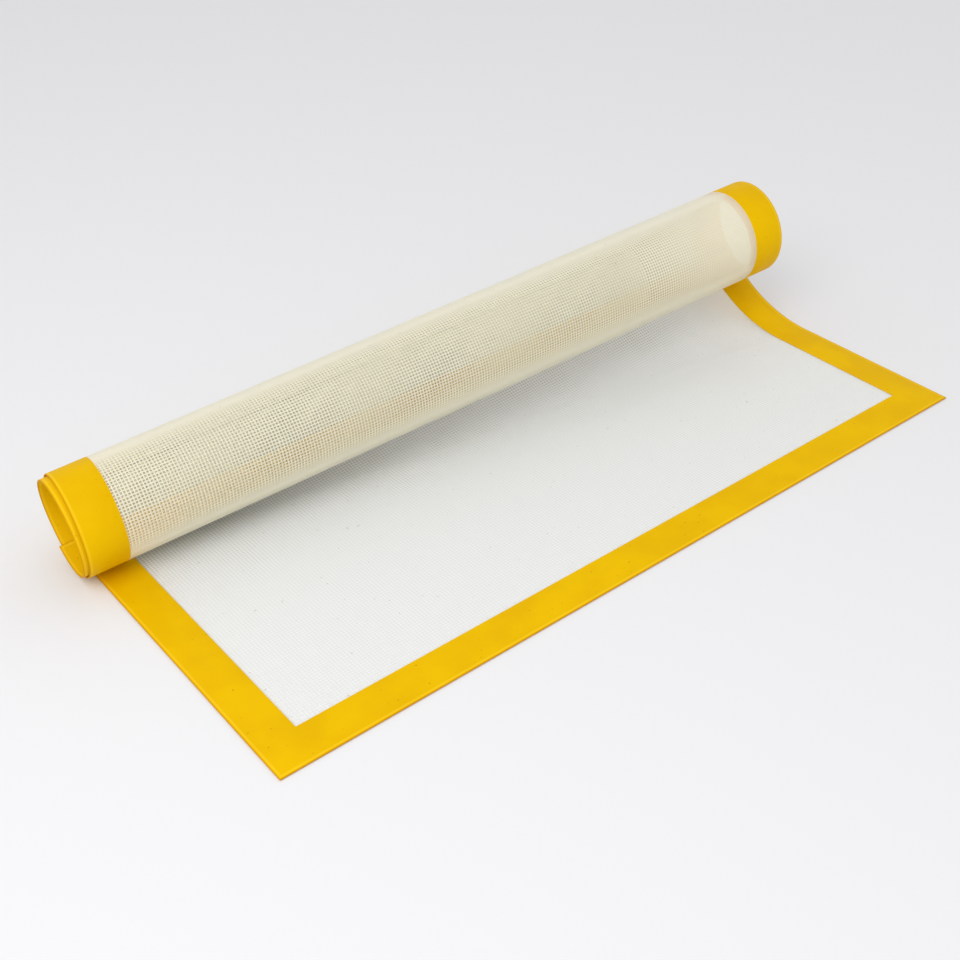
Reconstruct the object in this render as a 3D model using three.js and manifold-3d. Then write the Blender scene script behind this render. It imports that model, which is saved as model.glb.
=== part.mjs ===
// A silicone pastry mat, half rolled up. The front lies flat on the table, and the rest rises off it and
// is rolled up into a tube of about two turns. Millimetres, +Z up: X runs along the front edge, and Y from
// the front edge towards the roll. The origin is on the underside, in the middle of the flat part.
//
// The mat is a woven glass cloth with a coloured silicone border and a clear silicone facing. It bends
// along straight fold lines, as any sheet that doesn't stretch. The first half turn of the roll is cut along
// some of them into narrow strips, each turning on the one before it, so that the mat can be unrolled that
// far. The rest stays rolled up, as one coil.
import * as THREE from 'three';
import { mergeVertices } from 'three/addons/utils/BufferGeometryUtils.js';
import Module from 'manifold-3d';

// The mat laid flat
const MAT_WIDTH = 400;
const MAT_LENGTH = 470;
const BORDER_WIDTH = 18.7;
const CLOTH_THICKNESS = 0.35;
const FACING_THICKNESS = 0.3;
const BOND_GAP = 0.05;

// The roll: how far each side lies flat from the front edge, the turns, and the air between them
const FLAT_LEFT = 158.2;
const FLAT_RIGHT = 92.2;
const ROLL_TURNS = 2.102;
const LAYER_GAP = 0.55;

// The right side leaves the table in a wider bend, which then tightens to the roll's own radius
const RISE_RADIUS = 76;
const RISE_TURN = THREE.MathUtils.degToRad(45);
const TIGHTEN_TURN = THREE.MathUtils.degToRad(25);

// The strips, where the coil takes over from them, the gap at the seams that turn, and the largest turn
// from one facet to the next
const RISE_STRIPS = 8;
const ROLL_STRIPS = 10;
const COIL_START = THREE.MathUtils.degToRad(186);
const SEAM_GAP = 0.3;
const FACET_TURN = THREE.MathUtils.degToRad(5);

const MAT_THICKNESS = CLOTH_THICKNESS + BOND_GAP + FACING_THICKNESS;
const FACING_BOTTOM = CLOTH_THICKNESS + BOND_GAP;
const HALF_WIDTH = MAT_WIDTH / 2;
const FIELD_HALF = HALF_WIDTH - BORDER_WIDTH;
const FACING_HALF = FIELD_HALF - BOND_GAP;
const FLAT_MIDDLE = (FLAT_LEFT + FLAT_RIGHT) / 4;
const FULL_TURN = 2 * Math.PI;
const TOTAL_TURN = FULL_TURN * ROLL_TURNS;
const SHRINK = (MAT_THICKNESS + LAYER_GAP) / FULL_TURN;

const wasm = await Module();
wasm.setup();

// The length of sheet that is taken up from the start of the roll to a given turn, for a changing radius
function lengthAlong(radiusAt, turn) {
  const steps = 400;
  const step = turn / steps;
  let length = 0;
  for (let i = 0; i < steps; i += 1) length += radiusAt((i + 0.5) * step) * step;
  return length;
}

// How far the right side has changed over from its wide bend to the roll, from 0 to 1
function tightened(turn) {
  return THREE.MathUtils.smoothstep(turn, RISE_TURN, RISE_TURN + TIGHTEN_TURN);
}

// Each side's radius shrinks by one layer a turn. It starts at the size that takes up the mat's length,
// so that both sides come to the free end together.
const shrunk = lengthAlong((turn) => SHRINK * turn, TOTAL_TURN);
const LEFT_RADIUS = (MAT_LENGTH - FLAT_LEFT + shrunk) / TOTAL_TURN;

const risen = lengthAlong((turn) => (1 - tightened(turn)) * RISE_RADIUS, TOTAL_TURN);
const shrunkRight = lengthAlong((turn) => tightened(turn) * SHRINK * turn, TOTAL_TURN);
const turnedRight = lengthAlong(tightened, TOTAL_TURN);
const RIGHT_RADIUS = (MAT_LENGTH - FLAT_RIGHT - risen + shrunkRight) / turnedRight;

function leftRadius(turn) {
  return LEFT_RADIUS - SHRINK * turn;
}

function rightRadius(turn) {
  return THREE.MathUtils.lerp(RISE_RADIUS, RIGHT_RADIUS - SHRINK * turn, tightened(turn));
}

// The strips in order: what each belongs to, its number, the turns where it starts and ends, and the gap
// at its start. The coil and the border at its free end are long strips of their own.
const END_TURN = BORDER_WIDTH / ((leftRadius(TOTAL_TURN) + rightRadius(TOTAL_TURN)) / 2);
const ROLL_START = RISE_TURN + TIGHTEN_TURN;
const zones = [
  { zone: 'rise', count: RISE_STRIPS, from: 0, to: ROLL_START },
  { zone: 'roll', count: ROLL_STRIPS, from: ROLL_START, to: COIL_START },
  { zone: 'coil', count: 1, from: COIL_START, to: TOTAL_TURN - END_TURN },
  { zone: 'end', count: 1, from: TOTAL_TURN - END_TURN, to: TOTAL_TURN },
];
const strips = zones.flatMap(({ zone, count, from, to }) => (
  Array.from({ length: count }, (_, i) => ({
    name: count > 1 ? `${zone}_${String(i + 1).padStart(2, '0')}` : zone,
    bordered: zone === 'end',
    gap: zone === 'end' ? BOND_GAP : SEAM_GAP,
    from: THREE.MathUtils.lerp(from, to, i / count),
    to: THREE.MathUtils.lerp(from, to, (i + 1) / count),
  }))
));

// The fold lines, each with its turn and its distance from the front edge along the two sides. A strip has
// a fold line at each facet, and its seams are the fold lines at its ends.
const lines = [];
function addLine(turn, gap = 0) {
  lines.push({
    turn,
    gap,
    left: FLAT_LEFT + lengthAlong(leftRadius, turn),
    right: FLAT_RIGHT + lengthAlong(rightRadius, turn),
  });
}
for (const strip of strips) {
  const facets = Math.ceil((strip.to - strip.from) / FACET_TURN);
  strip.first = lines.length;
  strip.last = strip.first + facets;
  for (let i = 0; i < facets; i += 1) {
    addLine(THREE.MathUtils.lerp(strip.from, strip.to, i / facets), i === 0 ? strip.gap : 0);
  }
}
addLine(TOTAL_TURN);

// A point of the flat mat on a fold line, x across from the middle
function onLine(line, x) {
  const y = THREE.MathUtils.mapLinear(x, -HALF_WIDTH, HALF_WIDTH, line.left, line.right);
  return new THREE.Vector3(x, y, 0);
}

// A frame on a fold line of the flat mat: its origin halfway along, its X axis along the line
function lineFrame(line) {
  const slant = Math.atan2(line.right - line.left, MAT_WIDTH);
  return new THREE.Matrix4().makeRotationZ(slant).setPosition(onLine(line, 0));
}

// Each facet faces the middle of its own turn, so a fold is the step between two middles. The folds are
// made in order, and everything past a fold turns with it: before and after place the facets beside it.
const placed = new THREE.Matrix4();
lines.forEach((line, i) => {
  const isEdge = i === lines.length - 1;
  const middleBefore = i === 0 ? 0 : (lines[i - 1].turn + line.turn) / 2;
  const middleAfter = isEdge ? middleBefore : (line.turn + lines[i + 1].turn) / 2;
  const fold = middleAfter - middleBefore;
  const frame = lineFrame(line);
  const folding = frame.clone().multiply(new THREE.Matrix4().makeRotationX(fold));
  line.before = placed.clone();
  placed.multiply(folding.multiply(frame.clone().invert()));
  line.after = placed.clone();
  const up = new THREE.Vector3(0, 0, 1);
  const mitre = up.clone().transformDirection(line.before).add(up.transformDirection(line.after));
  line.mitre = mitre.normalize().divideScalar(Math.cos(fold / 2));
});

// A point of the rolled mat: on a fold line, at a height over the underside. At a seam it stands back by
// half the gap, along the strip's own facet.
function rolledPoint(line, place, standBack, { x, y: height }) {
  const point = onLine(line, x);
  point.y += standBack;
  return point.applyMatrix4(place).addScaledVector(line.mitre, height);
}

// A closed solid that carries a section, in x and height, along the fold lines of one strip
function stripGeometry(section, strip) {
  const rings = [];
  for (let i = strip.first; i <= strip.last; i += 1) {
    const line = lines[i];
    const starts = i === strip.first;
    const ends = i === strip.last && i < lines.length - 1;
    const place = starts ? line.after : line.before;
    const standBack = (Number(starts) - Number(ends)) * line.gap / 2;
    rings.push(section.map((corner) => rolledPoint(line, place, standBack, corner)));
  }
  const size = section.length;
  const faces = [];
  for (let ring = 0; ring < rings.length - 1; ring += 1) {
    for (let corner = 0; corner < size; corner += 1) {
      const a = ring * size + corner;
      const b = ring * size + (corner + 1) % size;
      faces.push(a, a + size, b + size, a, b + size, b);
    }
  }
  const lastRing = (rings.length - 1) * size;
  for (const [a, b, c] of THREE.ShapeUtils.triangulateShape(section, [])) {
    faces.push(a, b, c);
    faces.push(lastRing + a, lastRing + c, lastRing + b);
  }
  const geometry = new THREE.BufferGeometry().setFromPoints(rings.flat());
  return geometry.setIndex(faces);
}

function toSolid(geometry) {
  const bare = geometry.clone();
  bare.deleteAttribute('normal');
  bare.deleteAttribute('uv');
  const merged = mergeVertices(bare);
  return new wasm.Manifold(new wasm.Mesh({
    numProp: 3,
    vertProperties: new Float32Array(merged.attributes.position.array),
    triVerts: new Uint32Array(merged.index.array),
  }));
}

function toGeometry(solid) {
  const mesh = solid.getMesh();
  const geometry = new THREE.BufferGeometry();
  geometry.setAttribute('position', new THREE.BufferAttribute(mesh.vertProperties, 3));
  return geometry.setIndex(new THREE.BufferAttribute(mesh.triVerts, 1));
}

// A slab of the flat part, between two heights. It stretches from a front line to the first seam.
function flatSlab(halfWidth, front, bottom, top, pastSeam = 0) {
  const seam = pastSeam - SEAM_GAP / 2;
  const outline = new THREE.Shape([
    new THREE.Vector2(-halfWidth, front),
    new THREE.Vector2(halfWidth, front),
    new THREE.Vector2(halfWidth, onLine(lines[0], halfWidth).y + seam),
    new THREE.Vector2(-halfWidth, onLine(lines[0], -halfWidth).y + seam),
  ]);
  const slab = new THREE.ExtrudeGeometry(outline, { depth: top - bottom, bevelEnabled: false });
  return slab.translate(0, 0, bottom);
}

// The cloth of the flat part has its border on three sides, and a pocket between them for the facing
function flatClothGeometry() {
  const slab = flatSlab(HALF_WIDTH, 0, 0, MAT_THICKNESS);
  const pocket = flatSlab(FIELD_HALF, BORDER_WIDTH, CLOTH_THICKNESS, 2 * MAT_THICKNESS, BORDER_WIDTH);
  return toGeometry(toSolid(slab).subtract(toSolid(pocket)));
}

// The sections of a strip, in x and height: the cloth with the border at both sides, the facing between
// them, and the border that runs along the free end
const clothSection = [
  new THREE.Vector2(-HALF_WIDTH, 0),
  new THREE.Vector2(HALF_WIDTH, 0),
  new THREE.Vector2(HALF_WIDTH, MAT_THICKNESS),
  new THREE.Vector2(FIELD_HALF, MAT_THICKNESS),
  new THREE.Vector2(FIELD_HALF, CLOTH_THICKNESS),
  new THREE.Vector2(-FIELD_HALF, CLOTH_THICKNESS),
  new THREE.Vector2(-FIELD_HALF, MAT_THICKNESS),
  new THREE.Vector2(-HALF_WIDTH, MAT_THICKNESS),
];
const facingSection = [
  new THREE.Vector2(-FACING_HALF, FACING_BOTTOM),
  new THREE.Vector2(FACING_HALF, FACING_BOTTOM),
  new THREE.Vector2(FACING_HALF, MAT_THICKNESS),
  new THREE.Vector2(-FACING_HALF, MAT_THICKNESS),
];
const borderSection = [
  new THREE.Vector2(-HALF_WIDTH, 0),
  new THREE.Vector2(HALF_WIDTH, 0),
  new THREE.Vector2(HALF_WIDTH, MAT_THICKNESS),
  new THREE.Vector2(-HALF_WIDTH, MAT_THICKNESS),
];

const borderSilicone = new THREE.MeshStandardMaterial({ color: 0xf0c400, roughness: 0.55, metalness: 0 });
const clearSilicone = new THREE.MeshStandardMaterial({
  color: 0xf1f0ea,
  roughness: 0.5,
  metalness: 0,
  transparent: true,
  opacity: 0.55,
});

function namedMesh(name, geometry, material) {
  geometry.computeVertexNormals();
  const mesh = new THREE.Mesh(geometry, material);
  mesh.name = name;
  return mesh;
}

// The flat part carries the first strip, and each strip carries the next. A strip's group has its X axis
// along the seam that it turns on.
const mat = new THREE.Group();
mat.position.y = -FLAT_MIDDLE;
const flatFacing = flatSlab(FACING_HALF, BORDER_WIDTH + BOND_GAP, FACING_BOTTOM, MAT_THICKNESS);
mat.add(namedMesh('flat_cloth', flatClothGeometry(), borderSilicone));
mat.add(namedMesh('flat_facing', flatFacing, clearSilicone));

let carrier = mat;
let carrierPlace = new THREE.Matrix4();
for (const strip of strips) {
  const seam = lines[strip.first];
  const place = seam.after.clone().multiply(lineFrame(seam));
  const toStrip = place.clone().invert();
  const group = new THREE.Group();
  group.applyMatrix4(carrierPlace.invert().multiply(place));
  if (strip.bordered) {
    const border = stripGeometry(borderSection, strip).applyMatrix4(toStrip);
    group.add(namedMesh(`${strip.name}_border`, border, borderSilicone));
  } else {
    const cloth = stripGeometry(clothSection, strip).applyMatrix4(toStrip);
    const facing = stripGeometry(facingSection, strip).applyMatrix4(toStrip);
    group.add(namedMesh(`${strip.name}_cloth`, cloth, borderSilicone));
    group.add(namedMesh(`${strip.name}_facing`, facing, clearSilicone));
  }
  carrier.add(group);
  carrier = group;
  carrierPlace = place;
}

export default mat;
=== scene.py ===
import math

import bmesh
import bpy
import numpy as np
from mathutils import Matrix, Vector


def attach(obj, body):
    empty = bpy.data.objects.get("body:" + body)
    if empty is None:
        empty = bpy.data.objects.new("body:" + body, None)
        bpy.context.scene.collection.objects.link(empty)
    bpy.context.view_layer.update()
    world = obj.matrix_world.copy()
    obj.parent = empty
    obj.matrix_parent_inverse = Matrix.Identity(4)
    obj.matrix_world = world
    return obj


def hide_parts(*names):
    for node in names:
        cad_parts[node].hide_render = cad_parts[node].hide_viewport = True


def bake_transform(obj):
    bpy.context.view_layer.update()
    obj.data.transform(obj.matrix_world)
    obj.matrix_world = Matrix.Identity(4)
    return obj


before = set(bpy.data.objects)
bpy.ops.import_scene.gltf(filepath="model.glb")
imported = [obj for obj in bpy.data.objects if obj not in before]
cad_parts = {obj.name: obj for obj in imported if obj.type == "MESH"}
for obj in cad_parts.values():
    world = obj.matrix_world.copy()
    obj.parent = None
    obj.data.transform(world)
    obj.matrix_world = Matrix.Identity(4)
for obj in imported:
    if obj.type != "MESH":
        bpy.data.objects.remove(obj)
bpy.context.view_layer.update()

# The sheet: a glass cloth soaked with silicone, cut to a rectangle and rolled up from its far end.
# It doesn't stretch, so it bends along straight fold lines, and every piece below is carried along them.
# The fold lines come from the roll's radius at the left and at the right side, turn by turn.
MAT_WIDTH = 0.400
MAT_LENGTH = 0.470
MAT_THICKNESS = 0.0007
BORDER_WIDTH = 0.0187
HALF_WIDTH = MAT_WIDTH / 2
FIELD_HALF = HALF_WIDTH - BORDER_WIDTH
FLAT_LEFT = 0.1582
FLAT_RIGHT = 0.0922
FLAT_MIDDLE = (FLAT_LEFT + FLAT_RIGHT) / 4
TOTAL_TURN = 2.102 * 2 * math.pi
LAYER_GAP = 0.00055
LAYER_SHRINK = (MAT_THICKNESS + LAYER_GAP) / (2 * math.pi)
RISE_RADIUS = 0.076
RISE_TURN = math.radians(45)
ROLL_START = math.radians(70)
COIL_START = math.radians(186)
TURN_SAMPLES = 20001

turns = np.linspace(0, TOTAL_TURN, TURN_SAMPLES)
tightening = np.clip((turns - RISE_TURN) / (ROLL_START - RISE_TURN), 0, 1)
tightening = tightening * tightening * (3 - 2 * tightening)


def run_along(radius):
    """The length of sheet that the roll has taken up at each of the turns."""
    steps = (radius[1:] + radius[:-1]) / 2 * np.diff(turns)
    return np.concatenate([[0], np.cumsum(steps)])


left_start = (MAT_LENGTH - FLAT_LEFT + run_along(LAYER_SHRINK * turns)[-1]) / TOTAL_TURN
risen = run_along((1 - tightening) * RISE_RADIUS)[-1]
shrunk = run_along(tightening * LAYER_SHRINK * turns)[-1]
right_start = (MAT_LENGTH - FLAT_RIGHT - risen + shrunk) / run_along(tightening)[-1]
left_radius = left_start - LAYER_SHRINK * turns
right_radius = RISE_RADIUS + (right_start - LAYER_SHRINK * turns - RISE_RADIUS) * tightening
left_run = FLAT_LEFT + run_along(left_radius)
right_run = FLAT_RIGHT + run_along(right_radius)


class Line:
    """A straight line across the sheet: each side's distance from the front edge, and how it is placed."""

    def __init__(self, left, right, pinch=0.0):
        self.left = left
        self.right = right
        self.place = Matrix.Translation((0, -FLAT_MIDDLE, 0))
        self.up = Vector((0, 0, 1))
        self.pinch = pinch

    def flat(self, x):
        share = (x + HALF_WIDTH) / MAT_WIDTH
        return Vector((x, self.left + (self.right - self.left) * share, 0))

    def point(self, x, height):
        middle = MAT_THICKNESS / 2
        return self.place @ self.flat(x) + self.up * (middle + (height - middle) * (1 - self.pinch))


# The strips into which the rolled part of the sheet is divided, as in the frame. The real sheet has no cuts.
# Each strip has its body, the turns where it starts and ends, and an even number of facets, so that its
# middle is a fold line too.
RISE_STRIPS = 8
RISE_FACETS = 8
ROLL_STRIPS = 10
ROLL_FACETS = 10
COIL_FACETS = 440
END_FACETS = 40
END_TURN = BORDER_WIDTH / ((left_radius[-1] + right_radius[-1]) / 2)

strips = []
rise_step = ROLL_START / RISE_STRIPS
for i in range(RISE_STRIPS):
    strips.append((f"rise_{i + 1:02d}", rise_step * i, rise_step * (i + 1), RISE_FACETS))
roll_step = (COIL_START - ROLL_START) / ROLL_STRIPS
for i in range(ROLL_STRIPS):
    start = ROLL_START + roll_step * i
    end = ROLL_START + roll_step * (i + 1)
    strips.append((f"roll_{i + 1:02d}", start, end, ROLL_FACETS))
strips.append(("coil", COIL_START, TOTAL_TURN - END_TURN, COIL_FACETS))
strips.append(("end", TOTAL_TURN - END_TURN, TOTAL_TURN, END_FACETS))

fold_turns = []
first_line = {}
for body, start, end, facets in strips:
    first_line[body] = len(fold_turns)
    fold_turns += [start + (end - start) * i / facets for i in range(facets)]
fold_turns.append(TOTAL_TURN)

lines = []
placed = Matrix.Translation((0, -FLAT_MIDDLE, 0))
facing = 0.0
for i, turn in enumerate(fold_turns):
    facing_after = facing if i == len(fold_turns) - 1 else (turn + fold_turns[i + 1]) / 2
    line = Line(float(np.interp(turn, turns, left_run)), float(np.interp(turn, turns, right_run)))
    slant = math.atan2(line.right - line.left, MAT_WIDTH)
    on_line = Matrix.Translation(line.flat(0)) @ Matrix.Rotation(slant, 4, "Z")
    after = placed @ on_line @ Matrix.Rotation(facing_after - facing, 4, "X") @ on_line.inverted()
    line.place = placed
    line.up = (placed.to_3x3().col[2] + after.to_3x3().col[2]).normalized()
    lines.append(line)
    placed = after
    facing = facing_after

# The border: coloured silicone moulded through and over the margin of the cloth, all round.
# It is opaque and satin, a little proud of the field, with a rounded outer edge. Along that edge
# its colour has painted shade, a darker rim, and a painted highlight, a lighter line just inside it. The
# flat part's border has three sides, up to just before the first seam.
EDGE_ROUND = 0.00025
INNER_CHAMFER = 0.00012
CHAMFER_RUN = 0.0003
SEAM_LEAD = 0.009
SMOOTH_ANGLE = math.radians(40)


def paint(red, green, blue):
    """A colour from its screen values, 0 to 255."""
    values = [c / 255 for c in (red, green, blue)]
    return tuple(c / 12.92 if c <= 0.04045 else ((c + 0.055) / 1.055) ** 2.4 for c in values) + (1.0,)


class Nodes:
    """Adds nodes to a material, and links their inputs."""

    def __init__(self, name):
        self.material = bpy.data.materials.new(name)
        self.material.use_nodes = True
        self.tree = self.material.node_tree
        self.shader = self.tree.nodes["Principled BSDF"]

    def add(self, kind, inputs=(), **settings):
        made = self.tree.nodes.new(kind)
        for key, value in settings.items():
            setattr(made, key, value)
        for socket, value in dict(inputs).items():
            self.put(made.inputs[socket], value)
        return made

    def put(self, socket, value):
        if isinstance(value, bpy.types.NodeSocket):
            self.tree.links.new(value, socket)
        else:
            socket.default_value = value

    def math(self, operation, *values):
        return self.add("ShaderNodeMath", dict(enumerate(values)), operation=operation).outputs[0]

    def ramp(self, value, low, high, to_low=0.0, to_high=1.0):
        made = self.add("ShaderNodeMapRange", interpolation_type="SMOOTHSTEP")
        for socket, entry in zip(made.inputs, (value, low, high, to_low, to_high)):
            self.put(socket, entry)
        return made.outputs[0]

    def noise(self, where, scale, detail=2.0):
        made = self.add("ShaderNodeTexNoise", {"Vector": where, "Scale": scale, "Detail": detail})
        return made.outputs["Fac"]

    def mix(self, share, first, second):
        made = self.add("ShaderNodeMix", data_type="RGBA")
        for socket, entry in ((0, share), (6, first), (7, second)):
            self.put(made.inputs[socket], entry)
        return made.outputs[2]


BORDER_DEEP = paint(228, 179, 0)
BORDER_FRESH = paint(234, 187, 0)
# Painted shade: the darker colour painted on the rounded outer edge.
BORDER_EDGE_SHADE = paint(205, 140, 6)
# Painted highlight: the lighter colour painted just inside the rounded outer edge.
BORDER_EDGE_HIGHLIGHT = paint(250, 208, 40)
BORDER_SPECK = paint(170, 112, 10)
EDGE_HIGHLIGHT_FROM = (0.0005, 0.0009)
EDGE_HIGHLIGHT_TO = (0.0013, 0.0018)
EDGE_SHADE_FADE = (0.00015, 0.0005)
SATIN_ROUGHNESS = (0.48, 0.56)

border = Nodes("border_silicone_yellow")
cut = border.add("ShaderNodeTexCoord").outputs["UV"]
across, along, _ = border.add("ShaderNodeSeparateXYZ", {0: cut}).outputs
from_side = border.math("SUBTRACT", HALF_WIDTH, border.math("ABSOLUTE", across))
from_ends = border.math("MINIMUM", along, border.math("SUBTRACT", MAT_LENGTH, along))
from_edge = border.math("MINIMUM", from_side, from_ends)
clouds = border.noise(cut, 38.0, 3.0)
grain = border.noise(cut, 2600.0, 2.0)
specks = border.ramp(border.noise(cut, 520.0, 1.0), 0.735, 0.775)
yellow = border.mix(border.ramp(clouds, 0.35, 0.65), BORDER_DEEP, BORDER_FRESH)
yellow = border.mix(border.math("MULTIPLY", specks, 0.55), yellow, BORDER_SPECK)
# Painted highlight: a lighter line painted a little inside the outer edge, where the rounded edge catches
# the light.
highlight_inner_ramp = border.ramp(from_edge, *EDGE_HIGHLIGHT_FROM)
highlight_outer_ramp = border.ramp(from_edge, *EDGE_HIGHLIGHT_TO, 1.0, 0.0)
edge_highlight = border.math("MULTIPLY", highlight_inner_ramp, highlight_outer_ramp)
yellow = border.mix(border.math("MULTIPLY", edge_highlight, 0.45), yellow, BORDER_EDGE_HIGHLIGHT)
# Painted shade: a darker rim painted along the outer edge, where the rounded edge turns from the light.
yellow = border.mix(border.ramp(from_edge, *EDGE_SHADE_FADE, 0.8, 0.0), yellow, BORDER_EDGE_SHADE)
border.put(border.shader.inputs["Base Color"], yellow)
border.put(border.shader.inputs["Roughness"], border.ramp(clouds, 0.3, 0.7, *SATIN_ROUGHNESS))
relief = border.math("ADD", border.math("MULTIPLY", grain, 0.5), clouds)
bump = border.add("ShaderNodeBump", {"Strength": 0.18, "Distance": 0.0001, "Height": relief})
border.put(border.shader.inputs["Normal"], bump.outputs[0])
border.shader.inputs["Specular IOR Level"].default_value = 0.04


def sheet_object(name, points, uvs, faces, layers, material):
    """A mesh of the sheet, with the flat cut as its UV map and each face's layer as an attribute."""
    mesh = bpy.data.meshes.new(name)
    mesh.from_pydata(points, [], faces)
    uv_map = mesh.uv_layers.new(name="flat_cut")
    corner = np.empty(len(mesh.loops), np.int32)
    mesh.loops.foreach_get("vertex_index", corner)
    uv_map.data.foreach_set("uv", np.array(uvs, np.float32)[corner].ravel())
    layer = mesh.attributes.new("layer", "FLOAT", "FACE")
    layer.data.foreach_set("value", np.array(layers, np.float32))
    shaped = bmesh.new()
    shaped.from_mesh(mesh)
    bmesh.ops.recalc_face_normals(shaped, faces=shaped.faces)
    shaped.to_mesh(mesh)
    shaped.free()
    mesh.materials.append(material)
    piece = bpy.data.objects.new(name, mesh)
    bpy.context.scene.collection.objects.link(piece)
    bpy.ops.object.select_all(action="DESELECT")
    bpy.context.view_layer.objects.active = piece
    piece.select_set(True)
    bpy.ops.object.shade_smooth_by_angle(angle=SMOOTH_ANGLE)
    piece.select_set(False)
    return piece


def band_profile(full):
    """The section of one side's band, from its inner edge at the bottom round the outer edge to the top."""
    inner = 0.0 if full else INNER_CHAMFER
    corners = [(BORDER_WIDTH, inner), (BORDER_WIDTH - CHAMFER_RUN, 0.0)]
    for angle in (270, 240, 210, 180):
        out = math.radians(angle)
        corners.append((EDGE_ROUND * (1 + math.cos(out)), EDGE_ROUND * (1 + math.sin(out))))
    return corners + [(inward, MAT_THICKNESS - height) for inward, height in reversed(corners)]


def band_mesh(path, sides, full=()):
    """The bands along a path of lines. Between the lines of full, the border runs right across."""
    points, uvs, faces = [], [], []
    size = len(band_profile(False))
    first, last = (full[0], full[-1]) if full else (-1, -1)
    ends = (0, len(path) - 1)

    def at(row, side, corner):
        return (row * len(sides) + sides.index(side)) * size + corner

    def wall(row, side, corner, next_side, next_corner):
        """The face from a line to the next one, between two corners of the section."""
        near = [at(row, side, corner), at(row, next_side, next_corner)]
        far = [at(row + 1, next_side, next_corner), at(row + 1, side, corner)]
        faces.append(near + far)

    def cap(row, side, low, next_side, next_low):
        """The face on a line, between two corners at the bottom and those above them."""
        below = [at(row, side, low), at(row, next_side, next_low)]
        above = [at(row, next_side, size - 1 - next_low), at(row, side, size - 1 - low)]
        faces.append(below + above)

    for row, line in enumerate(path):
        for side in sides:
            for inward, height in band_profile(first <= row <= last):
                x = side * (HALF_WIDTH - inward)
                points.append(line.point(x, height))
                uvs.append(line.flat(x)[:2])
    for row in range(len(path) - 1):
        crosses = first <= row < last
        for side in sides:
            for corner in range(size - 1 if crosses else size):
                wall(row, side, corner, side, (corner + 1) % size)
        if crosses:
            for corner in (0, size - 1):
                wall(row, -1, corner, 1, corner)
    for row in ends:
        for side in sides:
            for low in range(size // 2 - 1):
                cap(row, side, low, side, low + 1)
        if first <= row <= last:
            cap(row, -1, 0, 1, 0)
    for row in {first, last} - {-1, *ends}:
        cap(row, -1, 0, 1, 0)
    return points, uvs, faces


def band_object(name, path, sides, full=()):
    points, uvs, faces = band_mesh(path, sides, full)
    return sheet_object(name, points, uvs, faces, [0] * len(faces), border.material)


def rounded_edge(edge, inward):
    """Lines beside an end edge of the sheet, where its thickness is pinched to a round edge."""
    rows = []
    for angle in (0, 30, 60, 90):
        back = EDGE_ROUND * (1 - math.cos(math.radians(angle)))
        thinned = EDGE_ROUND * (1 - math.sin(math.radians(angle)))
        rows.append((edge + inward * back, thinned / (MAT_THICKNESS / 2)))
    return rows


lead_line = Line(FLAT_LEFT - SEAM_LEAD, FLAT_RIGHT - SEAM_LEAD)
front_rows = [Line(y, y, pinch) for y, pinch in rounded_edge(0.0, 1)]
front_rows.append(Line(BORDER_WIDTH, BORDER_WIDTH))
flat_border = band_object("flat_border", front_rows + [lead_line], (-1, 1), range(len(front_rows)))
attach(flat_border, "flat")
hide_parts("flat_cloth")

# The field: an open square weave of glass threads under a clear silicone facing, bonded into the border.
# The pale threads let some light through, and the silicone in the holes between them is clear, but milky at
# a slant, on the flat part and at the right end. The weave is below, and the smooth facing is above.
WEFT_PITCH = 0.001553
WARP_PITCH = 0.0014798
THREAD_DRIFT = 0.0003
THREAD_EDGE = (0.14, 0.27)
FIELD_BOTTOM = 0.00008
FIELD_TOP = 0.00062
FIELD_TUCK = 0.0003
CLOTH, FACING, RIM = 0, 1, 2
FIELD_PALE = paint(254, 255, 252)
# The cream, warm and tinted colours are painted light: the rolled part only, where light passed through
# several layers and off the yellow border makes the same pale sheet look cream.
FIELD_PAINTED_CREAM = paint(255, 251, 236)
FIELD_PAINTED_WARM = paint(253, 249, 222)
FIELD_CLEAR = paint(255, 255, 255)
FIELD_PAINTED_TINT = paint(255, 255, 250)
FIELD_SPECK = paint(150, 138, 110)
PAINTED_CREAM_FROM = (0.12, 0.24)
THREAD_COVER = 0.65
CROSSING_COVER = 0.06
FACING_COVER = 0.04
SLANT_FROM = (0.17, 0.62)
SLANT_MILK = (0.10, 0.80)
RIGHT_FROM = (0.06, 0.17)
RIGHT_MILK = (0.0, 0.66)
FLAT_UP_TO = (0.10, 0.22)
FLAT_MILK = (0.62, 0.0)
GLOW_SHARE = 0.22
FIELD_ROUGHNESS = (0.36, 0.46)

field = Nodes("field_silicone_clear")
cut = field.add("ShaderNodeTexCoord").outputs["UV"]
wobble = field.noise(cut, 160.0, 1.0)
across, along, _ = field.add("ShaderNodeSeparateXYZ", {0: cut}).outputs
drift = field.math("MULTIPLY", field.math("SUBTRACT", wobble, 0.5), THREAD_DRIFT)
weft = field.math("DIVIDE", field.math("ADD", across, drift), WEFT_PITCH)
warp = field.math("DIVIDE", field.math("ADD", along, drift), WARP_PITCH)
weft_off = field.math("PINGPONG", weft, 0.5)
warp_off = field.math("PINGPONG", warp, 0.5)
weft_thread = field.ramp(weft_off, *THREAD_EDGE, 1.0, 0.0)
warp_thread = field.ramp(warp_off, *THREAD_EDGE, 1.0, 0.0)
weave = field.math("MAXIMUM", weft_thread, warp_thread)
crossing = field.math("MULTIPLY", weft_thread, warp_thread)
patches = field.noise(cut, 30.0, 3.0)
specks = field.ramp(field.noise(cut, 420.0, 1.0), 0.74, 0.78)
layer = field.add("ShaderNodeAttribute", attribute_name="layer").outputs["Fac"]
is_cloth = field.math("LESS_THAN", layer, 0.5)
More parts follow.
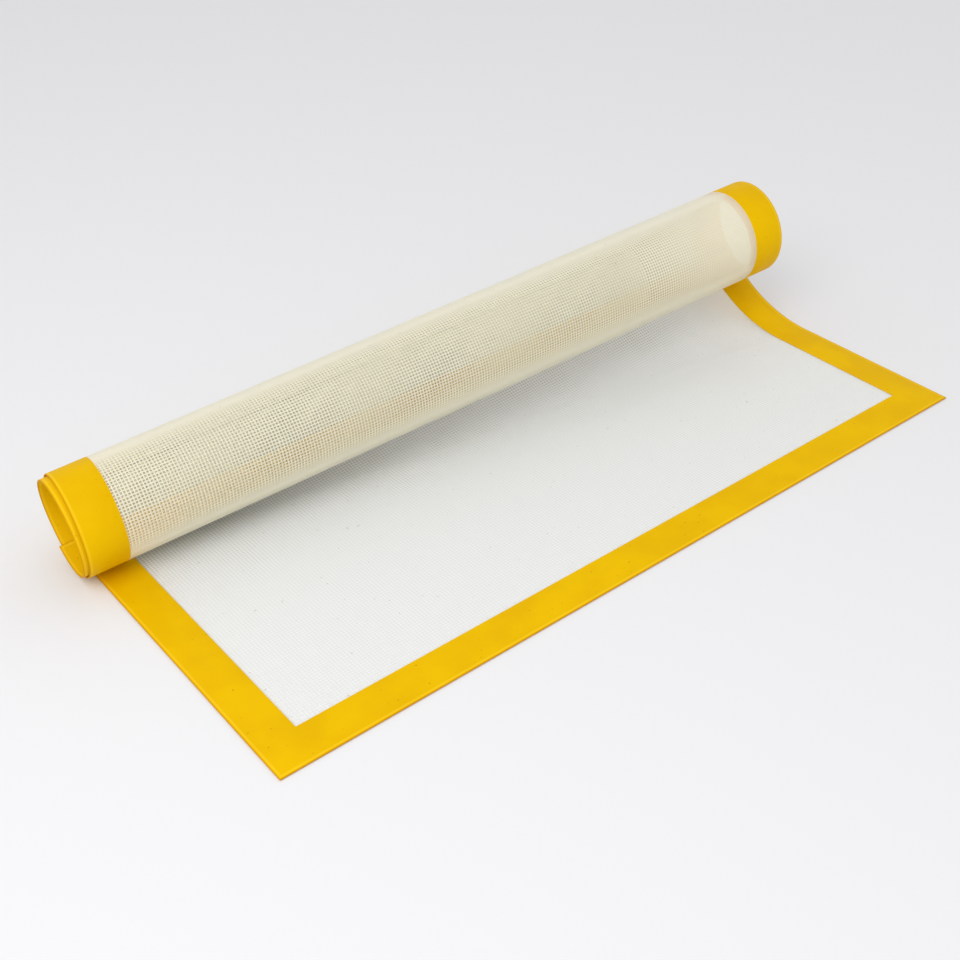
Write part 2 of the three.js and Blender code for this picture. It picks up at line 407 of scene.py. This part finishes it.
is_facing = field.math("LESS_THAN", field.math("ABSOLUTE", field.math("SUBTRACT", layer, 1.0)), 0.5)
# Painted light: along the sheet, where it rolls up, the field is painted cream, with a warmer glow and a
# tinted see-through, for light that has passed through the layers of the roll.
along_patchy = field.math("ADD", along, field.math("MULTIPLY", field.math("SUBTRACT", patches, 0.5), 0.08))
roll_painted_tint_share = field.ramp(along_patchy, *PAINTED_CREAM_FROM)
painted_warm_glow = field.mix(roll_painted_tint_share, FIELD_PALE, FIELD_PAINTED_WARM)
pale_with_painted_cream = field.mix(roll_painted_tint_share, FIELD_PALE, FIELD_PAINTED_CREAM)
painted_clear_tint = field.mix(roll_painted_tint_share, FIELD_CLEAR, FIELD_PAINTED_TINT)
pale_with_painted_cream = field.mix(field.math("MULTIPLY", specks, 0.4), pale_with_painted_cream, FIELD_SPECK)
field.put(field.shader.inputs["Base Color"], pale_with_painted_cream)
threads = field.math("MULTIPLY", weave, THREAD_COVER)
crossings = field.math("MULTIPLY", crossing, CROSSING_COVER)
woven = field.math("ADD", threads, crossings)
tilted = field.add("ShaderNodeLayerWeight", {"Blend": 0.5}).outputs["Facing"]
slant_milk = field.ramp(tilted, *SLANT_FROM, *SLANT_MILK)
right_milk = field.ramp(across, *RIGHT_FROM, *RIGHT_MILK)
flat_milk = field.ramp(along_patchy, *FLAT_UP_TO, *FLAT_MILK)
milk = field.math("MAXIMUM", slant_milk, field.math("MAXIMUM", right_milk, flat_milk))
cloth_share = field.math("MULTIPLY", is_cloth, field.math("MAXIMUM", woven, milk))
facing_share = field.math("MULTIPLY", is_facing, FACING_COVER)
solid_share = field.math("ADD", cloth_share, facing_share)
field.put(field.shader.inputs["Roughness"], field.ramp(patches, 0.3, 0.7, *FIELD_ROUGHNESS))
relief = field.math("ADD", weave, crossing)
bump = field.add("ShaderNodeBump", {"Strength": 0.2, "Distance": 0.0001, "Height": relief})
field.put(field.shader.inputs["Normal"], bump.outputs[0])
field.shader.inputs["Specular IOR Level"].default_value = 0.5
# The glow and the see-through share carry the painted cream tint of the rolled part.
glow = field.add("ShaderNodeBsdfTranslucent", {"Color": painted_warm_glow, "Normal": bump.outputs[0]})
milky = field.add("ShaderNodeMixShader", {0: GLOW_SHARE, 1: field.shader.outputs[0], 2: glow.outputs[0]})
clear = field.add("ShaderNodeBsdfTransparent", {"Color": painted_clear_tint})
shown = field.add("ShaderNodeMixShader", {0: solid_share, 1: clear.outputs[0], 2: milky.outputs[0]})
field.put(field.tree.nodes["Material Output"].inputs["Surface"], shown.outputs[0])


def field_object(name, path):
    """The field along a path of lines: the cloth below, the facing above, and the four rims."""
    half = FIELD_HALF + FIELD_TUCK
    section = ((-half, FIELD_BOTTOM), (half, FIELD_BOTTOM), (half, FIELD_TOP), (-half, FIELD_TOP))
    points, uvs, faces, layers = [], [], [], []
    for line in path:
        for x, height in section:
            points.append(line.point(x, height))
            uvs.append(line.flat(x)[:2])
    for row in range(len(path) - 1):
        for corner, layer_here in enumerate((CLOTH, RIM, FACING, RIM)):
            far = (corner + 1) % 4
            faces.append([row * 4 + corner, row * 4 + far, row * 4 + 4 + far, row * 4 + 4 + corner])
            layers.append(layer_here)
    end = (len(path) - 1) * 4
    faces += [[0, 1, 2, 3], [end, end + 1, end + 2, end + 3]]
    layers += [RIM, RIM]
    return sheet_object(name, points, uvs, faces, layers, field.material)


def flat_area(path, half):
    """The flat cut's area between the first and last line of a path, and its longer side."""
    runs = [path[-1].flat(x).y - path[0].flat(x).y for x in (-half, half)]
    return sum(runs) * half, max(runs)


front_line = Line(BORDER_WIDTH - FIELD_TUCK, BORDER_WIDTH - FIELD_TUCK)
flat_field = field_object("flat_field", [front_line, lead_line])
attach(flat_field, "flat")
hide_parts("flat_facing")
area, longest = flat_area([front_line, lead_line], FIELD_HALF)

# The bends: the first half turn of the roll, where the same sheet leaves the table and curls over.
# Each bend runs from the middle of one strip of the frame to the middle of the next.
# Its field and its two bands are pieces of their own.
COIL_LEAD = 12
BAND_MIDDLE = HALF_WIDTH - BORDER_WIDTH / 2


def bend_piece(piece, start_line, end_line, x):
    """Bakes a piece's placement into its mesh."""
    start = start_line.point(x, 0)
    end = end_line.point(x, 0)
    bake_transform(piece)


for number, (body, start_turn, end_turn, facets) in enumerate(strips[:-1]):
    seam = first_line[body]
    is_coil = body == "coil"
    middle_before = seam - (strips[number - 1][3] // 2 if number else 0)
    middle_here = seam if is_coil else seam + facets // 2
    last_here = seam + COIL_LEAD if is_coil else middle_here
    path = lines[middle_before : last_here + 1]
    if number == 0:
        path = [lead_line] + path
    name = f"bend_{number + 1:02d}"
    bend_field = field_object(f"{name}_field", path)
    band_left = band_object(f"{name}_band_left", path, (-1,))
    band_right = band_object(f"{name}_band_right", path, (1,))
    for piece, x, slot in (
        (bend_field, 0.0, "clear_silicone"),
        (band_left, -BAND_MIDDLE, "border_silicone"),
        (band_right, BAND_MIDDLE, "border_silicone"),
    ):
        bend_piece(piece, lines[middle_before], lines[middle_here], x)
    if not is_coil:
        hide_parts(f"{body}_facing")
        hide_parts(f"{body}_cloth")

# The coil: the rest of the sheet, rolled up to its free end, where the border runs right across.
# It stays rolled up as one body, and the round edge of its free end shows inside the left end of the roll.
coil_path = lines[first_line["coil"] + COIL_LEAD :]
end_row = first_line["end"] - first_line["coil"] - COIL_LEAD
end_rows = []
for y, pinch in reversed(rounded_edge(MAT_LENGTH, -1)):
    edge_line = Line(y, y, pinch)
    edge_line.place = lines[-1].place
    edge_line.up = lines[-1].up
    end_rows.append(edge_line)
border_path = coil_path[:-1] + end_rows
coil_border = band_object("coil_border", border_path, (-1, 1), range(end_row, len(border_path)))
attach(coil_border, "coil")
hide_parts("coil_cloth", "end_border")
field_path = coil_path[: end_row + 2]
coil_field = field_object("coil_field", field_path)
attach(coil_field, "coil")
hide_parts("coil_facing")
area, longest = flat_area(field_path, FIELD_HALF)

# The table: the plain pale, matt floor that the mat lies on.
# It is a hair below the mat's underside, and takes its shadow.
TABLE_DROP = -0.0002
TABLE_SIZE = 6.0
TABLE_PALE = paint(234, 234, 236)
bpy.ops.object.select_all(action="DESELECT")
bpy.ops.mesh.primitive_plane_add(size=TABLE_SIZE, location=(0, 0, TABLE_DROP))
table = bpy.context.object
table.name = "table"
bpy.ops.object.transform_apply(location=True, rotation=True, scale=True)
table_paint = Nodes("table_pale")
table_paint.shader.inputs["Base Color"].default_value = TABLE_PALE
table_paint.shader.inputs["Roughness"].default_value = 0.7
table_paint.shader.inputs["Specular IOR Level"].default_value = 0.2
table.data.materials.append(table_paint.material)

# The light: an even pale room, and a large soft lamp above and to the left of the mat,
# which faces its middle.
SKY_WHITE = (1.0, 1.0, 1.0, 1.0)
SKY_LEVEL = 0.81
LAMP_WATTS = 4.6
LAMP_SIZE = 0.8
LAMP_PLACE = Vector((-0.68, -0.30, 0.85))
room = bpy.data.worlds.new("room")
room.use_nodes = True
sky = room.node_tree.nodes["Background"]
sky.inputs["Color"].default_value = SKY_WHITE
sky.inputs["Strength"].default_value = SKY_LEVEL
bpy.context.scene.world = room
bpy.ops.object.light_add(type="AREA", location=LAMP_PLACE)
lamp = bpy.context.object
lamp.name = "soft_lamp"
lamp.data.energy = LAMP_WATTS
lamp.data.size = LAMP_SIZE
lamp.rotation_euler = (-LAMP_PLACE).to_track_quat("-Z", "Y").to_euler()

# The camera: from above the front left corner, as the mat was photographed,
# turned a little on its own axis.
CAMERA_PLACE = Vector((-0.34708, -0.37176, 0.37686))
CAMERA_RIGHT = Vector((0.77919, -0.62657, -0.01647))
CAMERA_UP = Vector((0.37908, 0.45015, 0.80849))
CAMERA_BACK = Vector((-0.49916, -0.63621, 0.58827))
CAMERA_LENS = 50.6
CAMERA_SENSOR = 36.0
bpy.ops.object.camera_add(location=CAMERA_PLACE)
camera = bpy.context.object
camera.name = "camera"
turned = Matrix((CAMERA_RIGHT, CAMERA_UP, CAMERA_BACK)).transposed()
camera.rotation_euler = turned.to_euler()
camera.data.sensor_width = CAMERA_SENSOR
camera.data.lens = CAMERA_LENS
camera.data.clip_start = 0.01
bpy.context.scene.camera = camera
bpy.context.scene.view_settings.view_transform = "Standard"
